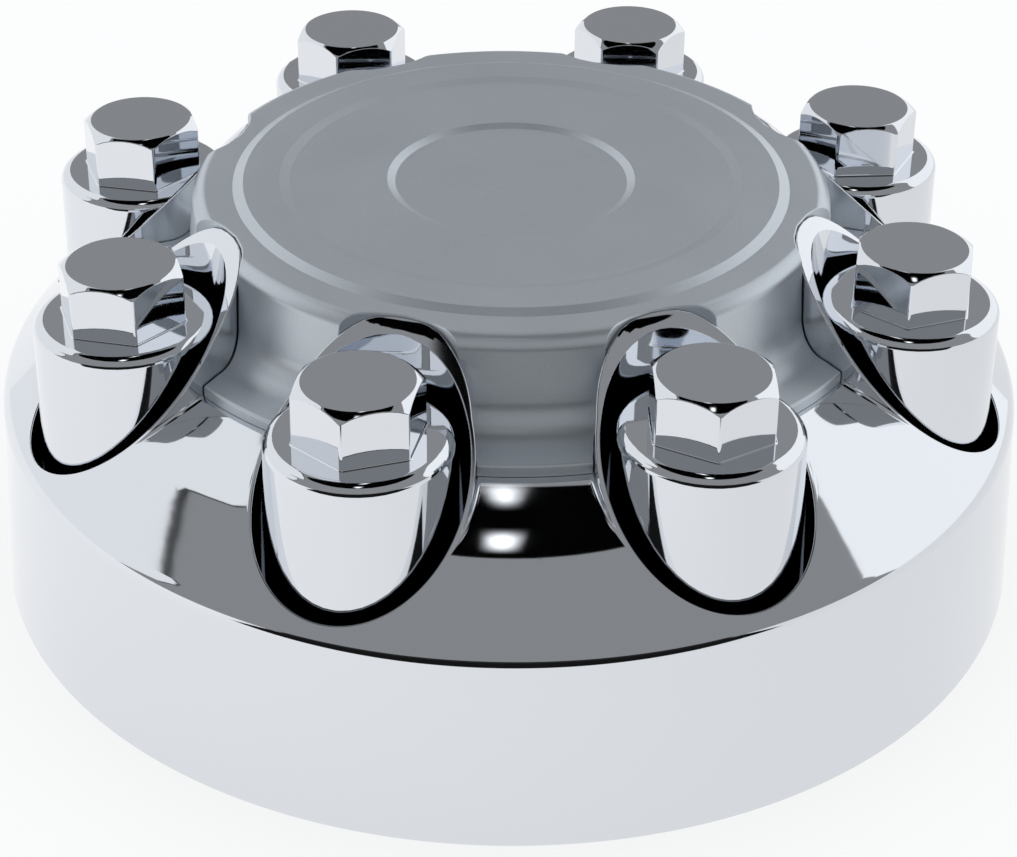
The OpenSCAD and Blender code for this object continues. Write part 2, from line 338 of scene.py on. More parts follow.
class Shell:
    """Patches of points with their normals, welded into one mesh"""

    def __init__(self):
        self.points = []
        self.normals = []
        self.quads = []
        self.count = 0

    def patch(self, points, normals, closed=False):
        """Adds a grid of points and normals, each of rows by columns by 3"""
        rows, columns = points.shape[:2]
        index = self.count + np.arange(rows * columns).reshape(rows, columns)
        if closed:
            index = np.hstack([index, index[:, :1]])
        self.quads.append(np.stack([index[:-1, :-1], index[:-1, 1:], index[1:, 1:], index[1:, :-1]],
                                   axis=-1).reshape(-1, 4))
        self.points.append(points.reshape(-1, 3))
        self.normals.append(normals.reshape(-1, 3))
        self.count += rows * columns

    def both(self, points, normals):
        """A patch and its mirror image on the other side of the X axis"""
        flip = np.array([1, -1, 1])
        self.patch(points, normals)
        self.patch(points * flip, normals * flip)

    def repeat(self, count, step):
        """Turns copies of all patches so far about the Z axis"""
        points, normals = np.vstack(self.points), np.vstack(self.normals)
        quads = np.vstack(self.quads)
        turns = [np.array(Matrix.Rotation(step * k, 3, "Z")) for k in range(count)]
        self.points = [points @ t.T for t in turns]
        self.normals = [normals @ t.T for t in turns]
        self.quads = [quads + len(points) * k for k in range(count)]
        self.count = len(points) * count

    def turn(self, azimuth, out=0):
        """Moves all patches out along X, then turns them about the Z axis"""
        spin = np.array(Matrix.Rotation(azimuth, 3, "Z"))
        self.points = [(p + np.array([out, 0, 0])) @ spin.T for p in self.points]
        self.normals = [n @ spin.T for n in self.normals]

    def build(self, name):
        """The welded mesh with its corners' normals, as an object in the scene"""
        points, normals = np.vstack(self.points), np.vstack(self.normals)
        normals = normals / np.maximum(np.linalg.norm(normals, axis=1, keepdims=True), TINY)
        grid = np.round(points / WELD + WELD_SHIFT).astype(np.int64)
        _, first, where = np.unique(grid, axis=0, return_index=True, return_inverse=True)
        where = where.reshape(-1)
        faces, corners = [], []
        for quad in np.vstack(self.quads):
            loop = [i for k, i in enumerate(quad) if where[i] != where[quad[k - 1]]]
            if len(loop) < 3 or len({where[i] for i in loop}) < len(loop):
                continue
            a, b, c = points[loop[0]], points[loop[1]], points[loop[2]]
            facing = np.cross(b - a, c - a)
            if len(loop) == 4:
                facing = facing + np.cross(c - a, points[loop[3]] - a)
            if facing @ normals[loop].sum(axis=0) < 0:
                loop.reverse()
            faces.append([int(where[i]) for i in loop])
            corners += [normals[i] for i in loop]
        mesh = bpy.data.meshes.new(name)
        mesh.from_pydata(points[first].tolist(), [], faces)
        mesh.polygons.foreach_set("use_smooth", [True] * len(faces))
        mesh.normals_split_custom_set(corners)
        mesh.update()
        piece = bpy.data.objects.new(name, mesh)
        bpy.context.scene.collection.objects.link(piece)
        return piece


def revolved(profile, angles):
    """Points and normals of an outline turned about the Z axis"""
    points, ways = profile
    c, s = np.cos(angles), np.sin(angles)
    r, z, out, up = points[:, :1], points[:, 1:], -ways[:, 1:], ways[:, :1]
    flat = np.ones_like(c)
    return np.stack([r * c, r * s, z * flat], axis=-1), np.stack([out * c, out * s, up * flat], axis=-1)


def cross_normals(points, ways, angles, guide):
    """Normals square to each row's way and to the change from column to column"""
    wide = np.concatenate([points[:, -2:-1], points, points[:, 1:2]], axis=1)
    spread = np.concatenate([[angles[-2] - 2 * math.pi], angles, [angles[1] + 2 * math.pi]])
    change = np.gradient(wide, spread, axis=1)[:, 1:-1]
    normals = np.cross(change, ways)
    normals *= np.sign((normals * guide).sum(axis=-1, keepdims=True))
    return normals / np.maximum(np.linalg.norm(normals, axis=-1, keepdims=True), TINY)


# The wells, seen from the axis of one stud: rho out from it, phi round it from the outward way

def smooth_max(a, b, blend):
    """The larger of two values, with a soft change from one to the other"""
    return (a + b + np.sqrt((a - b) ** 2 + blend ** 2)) / 2


def tube_outer(form, phi):
    """Distance from the stud to the outside of its tube and lip"""
    centre = form.lip_r - form.well_r - form.lip_w
    lip = centre * np.cos(phi) + np.sqrt(form.lip_r ** 2 - (centre * np.sin(phi)) ** 2)
    return smooth_max(np.full_like(phi, form.tube_r), lip, LIP_BLEND * form.rim_round)


class Sector:
    """One stud's eighth of the cover, between the hub collar and the shoulder"""

    def __init__(self, form, inner_r, outer_r, steps):
        self.stud_r = form.stud_r
        self.inner_r, self.outer_r = inner_r, outer_r
        out_corner = self.angle_to(outer_r, HALF_SECTOR)
        in_corner = self.angle_to(inner_r, HALF_SECTOR)
        out_az = np.linspace(0, HALF_SECTOR, steps[0] + 1)
        half = np.concatenate([self.angle_to(outer_r, out_az),
                               np.linspace(out_corner, in_corner, steps[1] + 1)[1:],
                               self.angle_to(inner_r, np.linspace(HALF_SECTOR, 0, steps[2] + 1))[1:]])
        self.phi = np.concatenate([-half[:0:-1], half])
        self.out = slice(len(half) - 1 - steps[0], len(half) + steps[0])
        self.c, self.s = np.cos(self.phi), np.sin(self.phi)

    def angle_to(self, r, azimuth):
        """Direction in which a place round the hub's axis is seen from the stud"""
        return np.arctan2(r * np.sin(azimuth), r * np.cos(azimuth) - self.stud_r)

    def radius(self, rho):
        """Distance from the hub's axis"""
        return np.sqrt(self.stud_r ** 2 + rho ** 2 + 2 * self.stud_r * rho * self.c)

    def on(self, corners, rho):
        """Height of an outline of revolution and its slope along rho"""
        r = self.radius(rho)
        z, slope = height(corners, r)
        return z, slope * (rho + self.stud_r * self.c) / r

    def edge(self):
        """Distance along phi to the sector's boundary"""
        size = np.abs(self.phi)
        with np.errstate(divide="ignore", invalid="ignore"):
            side = self.stud_r * math.sin(HALF_SECTOR) / np.sin(size - HALF_SECTOR)
        beyond = self.stud_r * self.c
        outer = -beyond + np.sqrt(np.maximum(self.outer_r ** 2 - (self.stud_r * self.s) ** 2, 0))
        inner = -beyond - np.sqrt(np.maximum(self.inner_r ** 2 - (self.stud_r * self.s) ** 2, 0))
        to_out = self.angle_to(self.outer_r, HALF_SECTOR)
        to_in = self.angle_to(self.inner_r, HALF_SECTOR)
        return np.where(size <= to_out + NEAR, outer, np.where(size >= to_in - NEAR, inner, side))

    def place(self, rho, z):
        rho, z, _ = np.broadcast_arrays(rho, z, self.phi)
        return np.stack([self.stud_r + rho * self.c, rho * self.s, z], axis=-1)

    def way(self, tilt):
        """Unit ways that lead out from the stud and rise with a tilt"""
        tilt = np.broadcast_to(tilt, self.phi.shape)
        return np.stack([np.cos(tilt) * self.c, np.cos(tilt) * self.s, np.sin(tilt)], axis=-1)

    def add(self, shell, rows):
        """Adds rows of distance, height and tilt of the way along rho"""
        points = np.array([self.place(rho, z) for rho, z, _ in rows])
        ways = np.array([self.way(tilt) for _, _, tilt in rows])
        guide = np.array([self.way(tilt + math.pi / 2) for _, _, tilt in rows])
        shell.patch(points, cross_normals(points, ways, self.phi, guide))

    def add_on(self, shell, corners, rhos):
        """Adds rows at the given distances on an outline of revolution"""
        points, normals = [], []
        for rho in rhos:
            r = self.radius(rho)
            z, slope = height(corners, r)
            place = self.place(rho, z)
            points.append(place)
            normals.append(np.stack([-slope * place[:, 0] / r, -slope * place[:, 1] / r,
                                     np.ones_like(r)], axis=-1))
        shell.patch(np.array(points), np.array(normals))


def inner_rows(form, sector):
    """Rows from a well's floor up its wall and over the inner edge of its rim"""
    rim, e, upright = rim_corners(form), form.rim_round, math.pi / 2
    rho = np.full_like(sector.phi, form.well_r + e)
    for _ in range(8):
        end_tilt = np.arctan(sector.on(rim, rho)[1])
        rho = form.well_r + e * (1 - np.sin(end_tilt))
    centre_z = sector.on(rim, rho)[0] - e * np.cos(end_tilt)
    rows = [(form.well_r, form.floor_z, upright), (form.well_r, centre_z, upright)]
    for t in np.linspace(0, 1, 8)[1:]:
        tilt = upright + (end_tilt - upright) * t
        rows.append((form.well_r + e * (1 - np.sin(tilt)), centre_z + e * np.cos(tilt), tilt))
    return rows, rho, end_tilt


def well_rows(form, sector, brim_r):
    """Rows from a well's floor over its rim and down its tube to the face or ledge"""
    rim, face, e = rim_corners(form), skirt_corners(form), form.rim_round
    rows, rho_in, tilt_out = inner_rows(form, sector)
    rho_wall = tube_outer(form, sector.phi)
    for _ in range(8):
        rho_out = np.maximum(rho_wall - e * (1 + np.sin(tilt_out)), rho_in)
        z_out, slope = sector.on(rim, rho_out)
        tilt_out = np.arctan(slope)
    for t in np.linspace(0, 1, 7)[1:]:
        rho = rho_in + (rho_out - rho_in) * t
        z, slope = sector.on(rim, rho)
        rows.append((rho, z, np.arctan(slope)))
    foot = tube_foot(form, sector, rho_wall, brim_r + BRIM_GAP)

    def landing(steep):
        """Room under the foot's rounding, for a wall that falls as steeply, and its last tilt"""
        rho = rho_out + e * (np.sin(tilt_out) + np.sin(steep))
        z = z_out - e * (np.cos(tilt_out) - np.cos(steep))
        land = np.arctan(sector.on(face, rho + foot * np.sin(steep))[1])
        for _ in range(4):
            surface, slope = sector.on(face, rho + foot * (np.sin(steep) + np.sin(land)))
            land = np.arctan(slope)
        return z - foot * (np.cos(land) - np.cos(steep)) - surface, land

    upright = np.full_like(rho_wall, math.pi / 2)
    steepest, shallow = upright, -tilt_out
    for _ in range(40):
        middle = (steepest + shallow) / 2
        above = landing(middle)[0] > 0
        shallow = np.where(above, middle, shallow)
        steepest = np.where(above, steepest, middle)
    flush = sector.radius(rho_out) > face_start(form)
    steep = np.where(flush, -tilt_out, np.where(landing(upright)[0] > 0, upright, shallow))
    spare, land = landing(steep)
    land = np.where(flush, tilt_out, land)
    drop = np.where(flush | (steep < upright), 0, spare)
    for t in np.linspace(0, 1, 8)[1:]:
        tilt = tilt_out + (-steep - tilt_out) * t
        rows.append((rho_out + e * (np.sin(tilt_out) - np.sin(tilt)),
                     z_out - e * (np.cos(tilt_out) - np.cos(tilt)), tilt))
    start_rho, start_z = rows[-1][0], rows[-1][1] - drop
    for t in np.linspace(0, 1, 10):
        tilt = -steep + (land + steep) * t
        rows.append((start_rho + foot * (np.sin(steep) + np.sin(tilt)),
                     start_z - foot * (np.cos(tilt) - np.cos(steep)), tilt))
    return rows


def face_start(form):
    """Radius outside which the tubes' rims are flush with the coned face"""
    return arc_at(skirt_corners(form), 2)[1][0] + FLUSH_MARGIN


def tube_foot(form, sector, rho_wall, brim):
    """Rounding at a tube's foot, which fades out before it would reach the cap's brim"""
    beyond = form.stud_r * sector.c
    inside = brim ** 2 - (form.stud_r * sector.s) ** 2
    to_brim = np.where((inside > 0) & (sector.c < 0), -beyond - np.sqrt(np.maximum(inside, 0)), 1)
    return np.clip(FOOT_SHARE * (to_brim - rho_wall), LEAST_FOOT, form.foot_round)


def add_face(shell, form, sector, brim_r):
    """The wells with their floors and lug holes, and the face and ledge round them"""
    rows = well_rows(form, sector, brim_r)
    sector.add(shell, rows)
    start, edge = rows[-1][0], sector.edge()
    bend = np.sqrt(face_start(form) ** 2 - (form.stud_r * sector.s) ** 2) - form.stud_r * sector.c
    bend = np.clip(bend, np.minimum(start, edge), edge)
    sector.add_on(shell, skirt_corners(form),
                  [start + (bend - start) * t for t in np.linspace(0, 1, 16)]
                  + [bend + (edge - bend) * t for t in np.linspace(0, 1, 8)[1:]])
    floor = np.array([sector.place(rho, form.floor_z) for rho in (form.lug_hole_r, form.well_r)])
    shell.patch(floor, np.broadcast_to([0.0, 0.0, 1.0], floor.shape))
    hole = np.array([sector.place(form.lug_hole_r, form.floor_z - deep) for deep in (0, form.wall)])
    shell.patch(hole, np.stack([-sector.way(0)] * 2))


def add_under(shell, form, inner_r, under, azimuths):
    """The floors' undersides, the tubes, the skin under the face and the skirt's inner wall"""
    low_z = form.floor_z - form.wall
    outer_r = arc_at(under, 3)[2][0] + under[3][2] * INNER_SHOULDER
    below = Sector(form, inner_r, outer_r, SECTOR_STEPS)
    wall_r = under[4][0] - low_z * math.tan(form.skirt_draft)
    edge = below.edge()
    blocked = edge < form.tube_r
    azimuth = np.arctan2(edge * below.s, form.stud_r + edge * below.c)
    to_wall = np.hypot(wall_r * np.cos(azimuth) - form.stud_r, wall_r * np.sin(azimuth))
    tube = np.where(blocked, to_wall, form.tube_r)
    end = np.where(blocked, to_wall, edge)

    def skin(rho):
        return below.place(rho, np.where(blocked, low_z, below.on(under, rho)[0]))

    down = [0.0, 0.0, -1.0]
    floor = np.array([below.place(form.lug_hole_r, low_z), below.place(tube, low_z)])
    shell.patch(floor, np.broadcast_to(down, floor.shape))
    shell.patch(np.array([floor[1], skin(tube)]), np.stack([below.way(0)] * 2))
    face = np.array([skin(tube + (end - tube) * t) for t in np.linspace(0, 1, 9)])
    shell.patch(face, np.broadcast_to(down, face.shape))

    strip = skirt_strip(form, under, outer_r)
    grid, normals = revolved(strip, azimuths)
    ring = np.stack([wall_r * np.cos(azimuths), wall_r * np.sin(azimuths),
                     np.full_like(azimuths, low_z)], axis=-1)
    high = (grid[..., 2] > low_z) & blocked[below.out]
    shell.patch(np.where(high[..., None], ring, grid), -normals)
    return strip[0][-1]


def cover_shell(form, brim_r):
    """The cover, as eight turned copies of one stud's eighth"""
    shell = Shell()
    face, e = skirt_corners(form), form.edge_round
    under = inset(face, form.wall)
    outer_r = arc_at(face, 3)[0][0]
    inner_r = form.collar_r + COLLAR_ROOM
    azimuths = np.linspace(-HALF_SECTOR, HALF_SECTOR, 2 * SECTOR_STEPS[0] + 1)
    add_face(shell, form, Sector(form, inner_r, outer_r, SECTOR_STEPS), brim_r)
    wall_foot = add_under(shell, form, inner_r, under, azimuths)
    skirt = skirt_strip(form, face, outer_r)
    foot = outline([(*skirt[0][-1], 0), (form.skirt_r, 0, e), (under[4][0], 0, e), (*wall_foot, 0)], 4)
    bore_r, top_z = form.collar_r - form.wall, form.ledge_z + form.collar_h
    collar = outline([(inner_r, under[0][1], 0), (bore_r, under[0][1], e), (bore_r, top_z, e),
                      (form.collar_r, top_z, e), (form.collar_r, form.ledge_z, e / 2),
                      (inner_r, form.ledge_z, 0)], 4)
    shell.patch(*revolved(skirt, azimuths))
    shell.patch(*revolved(foot, azimuths))
    shell.patch(*revolved(collar, np.linspace(-HALF_SECTOR, HALF_SECTOR, 17)))
    shell.repeat(STUDS, SECTOR)
    shell.turn(FIRST_STUD)
    return shell


def skirt_strip(form, corners, from_r):
    """Outline of the skirt from a radius on its shoulder to near its lower rim"""
    centre, rounding, foot = arc_at(corners, 3)[2], corners[3][2], corners[4]
    first = math.asin((from_r - centre[0]) / rounding)
    tilts = np.linspace(first, math.pi / 2 - form.skirt_draft, 9)
    points = [(centre[0] + rounding * math.sin(t), centre[1] + rounding * math.cos(t)) for t in tilts]
    ways = [(math.cos(t), -math.sin(t)) for t in tilts]
    for z in np.linspace(points[-1][1], form.edge_round * EDGE_ROOM, 5)[1:]:
        points.append((foot[0] - (z - foot[1]) * math.tan(form.skirt_draft), z))
        ways.append(ways[-1])
    return np.array(points), np.array(ways)


# The centre cap

def cap_corners(form, ledge_z, cut_r, t=0):
    """Corners of the cap's side from the start of its scallops, moved inward by t"""
    brim_z, inner_round = ledge_z + form.brim_edge_h, 0.0004
    run = [(cut_r, form.top_z, 0),
           (form.top_r, form.top_z, form.edge_round),
           (form.flare_r, form.flare_z, form.flare_round),
           (form.brim_r, brim_z, form.brim_round),
           (form.brim_r, ledge_z, 0)]
    if t:
        ceiling = form.top_z + form.band_step_h - form.panel_step_h - form.disc_step_h - t
        run = [(cut_r, ceiling, 0),
               (form.top_r - t, ceiling, form.edge_round - t),
               (form.flare_r - t, form.flare_z - t, form.flare_round + t),
               (form.brim_r - t, brim_z - t, inner_round),
               (form.brim_r - t, ledge_z, 0)]
    return run


class Scallop:
    """The curve round one stud that cuts the cap, at a clearance from its tube and lip"""

    def __init__(self, form, clearance):
        self.form = form
        self.clearance = clearance

    def outside(self, r, azimuth):
        """Distance of a point from the curve, and the curve's normal towards the stud"""
        x, y = r * np.cos(azimuth) - self.form.stud_r, r * np.sin(azimuth)
        rho, phi = np.hypot(x, y), np.arctan2(y, x)
        cut, beside, behind = (tube_outer(self.form, phi + step) for step in (0, SLOPE_STEP, -SLOPE_STEP))
        bend = (beside - behind) / (2 * SLOPE_STEP * rho)
        x, y = np.cos(phi) + bend * np.sin(phi), np.sin(phi) - bend * np.cos(phi)
        size = np.hypot(x, y)
        return rho - cut - self.clearance, np.stack([-x / size, -y / size, np.zeros_like(x)], axis=-1)


def cap_side(shell, cut, before, corners, rounding, side):
    """An eighth of one skin of the cap: its revolved rows, scalloped edge and cut wall"""
    points, ways = (np.vstack(pair) for pair in zip(before, outline(corners, 10, 3)))
    head = len(before[0])
    r, z = points[:, 0], points[:, 1]
    out, up = -ways[:, 1] * side, ways[:, 0] * side
    tail = np.arange(head, len(r))
    low, high = np.zeros(len(tail)), np.full(len(tail), HALF_SECTOR)

    def short(azimuth):
        distance, to_stud = cut.outside(r[tail], azimuth)
        lean = (out[tail] * np.cos(azimuth) * to_stud[:, 0] + out[tail] * np.sin(azimuth) * to_stud[:, 1])
        return distance - rounding * (1 - side * lean) * side < 0

    for _ in range(50):
        middle = (low + high) / 2
        inner = short(middle)
        low, high = np.where(inner, middle, low), np.where(inner, high, middle)
    cuts = (low + high) / 2
    cuts[0] = 0
    brim = int(np.argmax(r[tail] >= r[tail].max() - NEAR))
    beyond = np.linspace(cuts[brim], HALF_SECTOR, 7)[1:]
    azimuths = np.concatenate([cuts[:brim + 1], beyond])
    last = np.concatenate([tail[:brim], np.full(1 + len(beyond), len(r) - 1)])
    k = np.minimum(np.arange(len(r))[:, None], last)
    c, s = np.cos(azimuths), np.sin(azimuths)
    grid = np.stack([r[k] * c, r[k] * s, z[k]], axis=-1)
    normals = np.stack([out[k] * c, out[k] * s, up[k]], axis=-1)
    shell.both(grid, normals)

    edge_az = np.concatenate([cuts[:brim + 1], np.full(len(tail) - brim - 1, cuts[brim])])
    c, s = np.cos(edge_az), np.sin(edge_az)
    edge = np.stack([r[tail] * c, r[tail] * s, z[tail]], axis=-1)
    skin_n = np.stack([out[tail] * c, out[tail] * s, up[tail]], axis=-1)
    cut_n = cut.outside(r[tail], edge_az)[1] * side
    centre = edge - rounding * skin_n
    rows, row_n = [], []
    for t in np.linspace(0, 1, 6):
        n = skin_n * (1 - t) + cut_n * t
        n = n / np.linalg.norm(n, axis=1, keepdims=True)
        rows.append(centre + rounding * n)
        row_n.append(n)
    shell.both(np.array(rows), np.array(row_n))
    wall_top = rows[-1]
    fall = (wall_top[brim:, 2] - wall_top[brim, 2]) / (wall_top[-1, 2] - wall_top[brim, 2])
    base_z = wall_top[-1, 2]
    wall = np.repeat(wall_top[None, :brim + 1], len(fall), axis=0)
    wall[..., 2] += (base_z - wall[..., 2]) * fall[:, None]
    shell.both(wall, np.repeat(cut_n[None, :brim + 1], len(fall), axis=0))
    return np.concatenate([wall[-1], np.array(rows)[::-1, -1], grid[-1, brim:]])


def cap_shell(form, cover):
    """The centre cap, as eight turned copies of one stud's eighth"""
    shell = Shell()
    top = form.top_z
    band_z = top + form.band_step_h
    panel_z = band_z - form.panel_step_h
    disc_z = panel_z - form.disc_step_h
    soft = form.step_round
    cut = Scallop(cover, form.gap)
    inner_cut = Scallop(cover, form.gap + form.wall)
    lip_reach = float(tube_outer(cover, np.array([math.pi]))[0])
    cut_r = cover.stud_r - lip_reach - form.gap - form.cut_round
    head = outline([(0, disc_z, 0), (form.disc_r, disc_z, soft),
                    (form.disc_r + form.disc_step_w, panel_z, soft),
                    (form.panel_r, panel_z, soft), (form.panel_r + form.panel_step_w, band_z, soft),
                    (form.band_r, band_z, soft), (form.band_r + form.band_step_w, top, soft),
                    (cut_r, top, 0)], 5, 2)
    outer = cap_side(shell, cut, head, cap_corners(form, cover.ledge_z, cut_r), form.cut_round, 1)
    ceiling = disc_z - form.wall
    spigot_foot, foot_round = cover.ledge_z + form.spigot_rise, 0.0003
    under_r = cover.stud_r - lip_reach - form.gap - form.wall
    hollow = outline([(0, ceiling, 0), (form.spigot_r - form.spigot_wall, ceiling, 0),
                      (form.spigot_r - form.spigot_wall, spigot_foot, foot_round),
                      (form.spigot_r, spigot_foot, foot_round), (form.spigot_r, ceiling, 0),
                      (under_r, ceiling, 0)], 2, 1)
    inner = cap_side(shell, inner_cut, hollow, cap_corners(form, cover.ledge_z, under_r, form.wall), 0, -1)
    foot = np.array([outer, inner])
    shell.both(foot, np.broadcast_to([0.0, 0.0, -1.0], foot.shape))
    shell.repeat(STUDS, SECTOR)
    shell.turn(FIRST_STUD)
    return shell


# The nut covers

def hexagon(form, turn):
    """Points and normals of the crown's outline, with rounded corners"""
    flat, e = form.hex_flat_r, form.hex_round
    half = (flat - e) * math.tan(math.radians(30))
    points, normals = [], []
    for k in range(6):
        facing = turn + math.radians(60 * k + 30)
        n, along = (np.array([math.cos(facing), math.sin(facing)]),
                    np.array([-math.sin(facing), math.cos(facing)]))
        for t in np.linspace(-1, 1, 9):
            points.append(n * flat + along * half * t)
            normals.append(n)
        middle = n * (flat - e) + along * half
        for bend in np.radians(np.linspace(0, 60, 6)[1:-1]):
            way = n * math.cos(bend) + along * math.sin(bend)
            points.append(middle + way * e)
            normals.append(way)
    return np.array(points), np.array(normals)


def crown_rows(form, turn):
    """Rows of points and normals from the crown's centre to its foot, and the columns' directions"""
    flat_points, flat_normals = hexagon(form, turn)
    size = np.linalg.norm(flat_points, axis=1)
    c, s = flat_points[:, 0] / size, flat_points[:, 1] / size
    a = np.array([form.crown_flat_r, form.crown_z])
    b = np.array([form.hex_flat_r / math.cos(math.radians(30)), form.crown_z - form.chamfer])
    bulge, chord = form.chamfer_round, np.linalg.norm(b - a)
    centre = (a + b) / 2 - left_of(unit(b - a)) * math.sqrt(bulge ** 2 - chord ** 2 / 4)

    def chamfer(r):
        """Height of the chamfer and its normal's outward part"""
        return centre[1] + np.sqrt(bulge ** 2 - (r - centre[0]) ** 2), (r - centre[0]) / bulge

    e = form.edge_round
    rows = [ring_row(c, s, r, form.crown_z, 0) for r in (0, form.crown_flat_r / 2, form.crown_flat_r - e)]
    end_tilt = math.asin(chamfer(form.crown_flat_r)[1])
    soft = e / math.tan(end_tilt / 2)
    for t in np.linspace(0, 1, 5)[1:]:
        tilt = end_tilt * t
        rows.append(ring_row(c, s, form.crown_flat_r - e + soft * math.sin(tilt),
                             form.crown_z - soft * (1 - math.cos(tilt)), math.sin(tilt)))
    edge_z, edge_out = chamfer(size)
    sharp = np.stack([flat_points[:, 0], flat_points[:, 1], edge_z], axis=-1)
    skin = np.stack([edge_out * c, edge_out * s, np.sqrt(1 - edge_out ** 2)], axis=-1)
    wall = np.stack([flat_normals[:, 0], flat_normals[:, 1], np.zeros_like(c)], axis=-1)
    ball = sharp - e * (skin + wall) / (1 + (skin * wall).sum(axis=1, keepdims=True))
    top = ball + e * skin
    start_r, top_r = math.hypot(*rows[-1][0][0, :2]), np.hypot(top[:, 0], top[:, 1])
    for t in np.linspace(0, 1, 7)[1:-1]:
        r = start_r + (top_r - start_r) * t
        rows.append(ring_row(c, s, r, *chamfer(r)))
    for t in np.linspace(0, 1, 5):
        n = skin * (1 - t) + wall * t
        n = n / np.linalg.norm(n, axis=1, keepdims=True)
        rows.append((ball + e * n, n))
    f = form.foot_round
    base = np.stack([flat_points[:, 0], flat_points[:, 1], np.full_like(c, form.body_top_z + f)], axis=-1)
    for t in np.linspace(0, math.pi / 2, 6):
        n = wall * math.cos(t) + np.array([0, 0, 1]) * math.sin(t)
        rows.append((base + f * wall - f * n, n))
    return rows, c, s


def ring_row(c, s, r, z, out):
    """A row at radii r, with the normal's outward part"""
    r, z, out = (np.broadcast_to(v, c.shape) for v in (r, z, out))
    normals = np.stack([out * c, out * s, np.sqrt(1 - out ** 2)], axis=-1)
    return np.stack([r * c, r * s, z], axis=-1), normals


def nut_shell(form, cover, stud, turn):
    """One nut cover in its well, with its crown turned"""
    shell = Shell()
    rows, c, s = crown_rows(form, turn)
    foot_z = form.body_top_z
    ring_r = form.body_top_r - form.body_round
    ring, up = ring_row(c, s, ring_r, foot_z, 0)
    rows += [((rows[-1][0] + ring) / 2, up), (ring, up)]
    soft = LEAST_ROUND
    body = outline([(ring_r, foot_z, 0), (form.body_top_r, foot_z, form.body_round * RING_FIT),
                    (form.body_foot_r, cover.floor_z, soft),
                    (form.body_foot_r - form.wall, cover.floor_z, soft),
                    (form.body_top_r - form.wall, foot_z - form.wall, 4 * soft),
                    (form.hollow_r, foot_z - form.wall, soft),
                    (form.hollow_r, form.crown_z - form.crown_wall, 2 * soft),
                    (0, form.crown_z - form.crown_wall, 0)], 8)
    for (r, z), (along, rise) in zip(*body):
        rows.append((ring_row(c, s, r, z, 0)[0],
                     np.stack([-rise * c, -rise * s, np.full_like(c, along)], axis=-1)))
    shell.patch(np.array([p for p, _ in rows]), np.array([n for _, n in rows]), closed=True)
    shell.turn(FIRST_STUD + SECTOR * stud, cover.stud_r)
    return shell


# Shader nodes

class Wire:
    """A node's output that takes part in arithmetic by adding Math nodes"""

    def __init__(self, graph, socket):
        self.graph = graph
        self.socket = socket

    def math(self, operation, first, second):
        return self.graph.node("ShaderNodeMath", {"operation": operation}, {0: first, 1: second})

    def __add__(self, other):
        return self.math("ADD", self, other)

    def __radd__(self, other):
        return self.math("ADD", other, self)

    def __sub__(self, other):
        return self.math("SUBTRACT", self, other)

    def __rsub__(self, other):
        return self.math("SUBTRACT", other, self)

    def __mul__(self, other):
        return self.math("MULTIPLY", self, other)

    def __rmul__(self, other):
        return self.math("MULTIPLY", other, self)

    def output(self, name):
        return Wire(self.graph, self.socket.node.outputs[name])


class Graph:
    """The node tree of a material or world"""

    def __init__(self, owner):
        owner.use_nodes = True
        self.tree = owner.node_tree
        self.tree.nodes.clear()

    def node(self, kind, settings=None, inputs=None, output=0):
        """Adds a node with its settings and inputs, and gives the named or numbered output"""
        made = self.tree.nodes.new(kind)
        for name, value in (settings or {}).items():
            setattr(made, name, value)
        for name, value in (inputs or {}).items():
            if isinstance(value, Wire):
                self.tree.links.new(value.socket, made.inputs[name])
            else:
                made.inputs[name].default_value = value
        return Wire(self, made.outputs[output]) if len(made.outputs) else made

    def smooth(self, value, low, high):
        """0 below low, 1 above high, with a smooth rise between"""
        return self.node("ShaderNodeMapRange", {"interpolation_type": "SMOOTHSTEP"},
                         {"Value": value, "From Min": low, "From Max": high})

    def mix(self, blend, a, b):
        """The colour that lies the share blend of the way from a to b"""
        return self.node("ShaderNodeMix", {"data_type": "RGBA"},
                         {"Factor": blend, 6: a, 7: b}, output=2)


def chrome_material(look):
    """The bright plating, which the cover and the nut covers share"""
    material = bpy.data.materials.get("bright_chrome_plate")
    if material:
        return material
    material = bpy.data.materials.new("bright_chrome_plate")
    graph = Graph(material)
    place = graph.node("ShaderNodeTexCoord", output="Object")
    haze = graph.node("ShaderNodeTexNoise", None, {"Vector": place, "Scale": 38.0, "Detail": 3.0})
    swirl = graph.node("ShaderNodeTexNoise", None, {"Vector": place, "Scale": 900.0, "Detail": 2.0})
    roughness = look.chrome_roughness + haze * 0.018 + swirl * 0.008
    ripple = graph.node("ShaderNodeBump", None, {"Height": haze, "Strength": 0.03, "Distance": 0.001},
                        output="Normal")
    shader = graph.node("ShaderNodeBsdfPrincipled", None, {
        "Base Color": (*look.chrome, 1), "Metallic": 1.0, "Roughness": roughness, "Normal": ripple})
    graph.node("ShaderNodeOutputMaterial", None, {"Surface": shader})
    return material


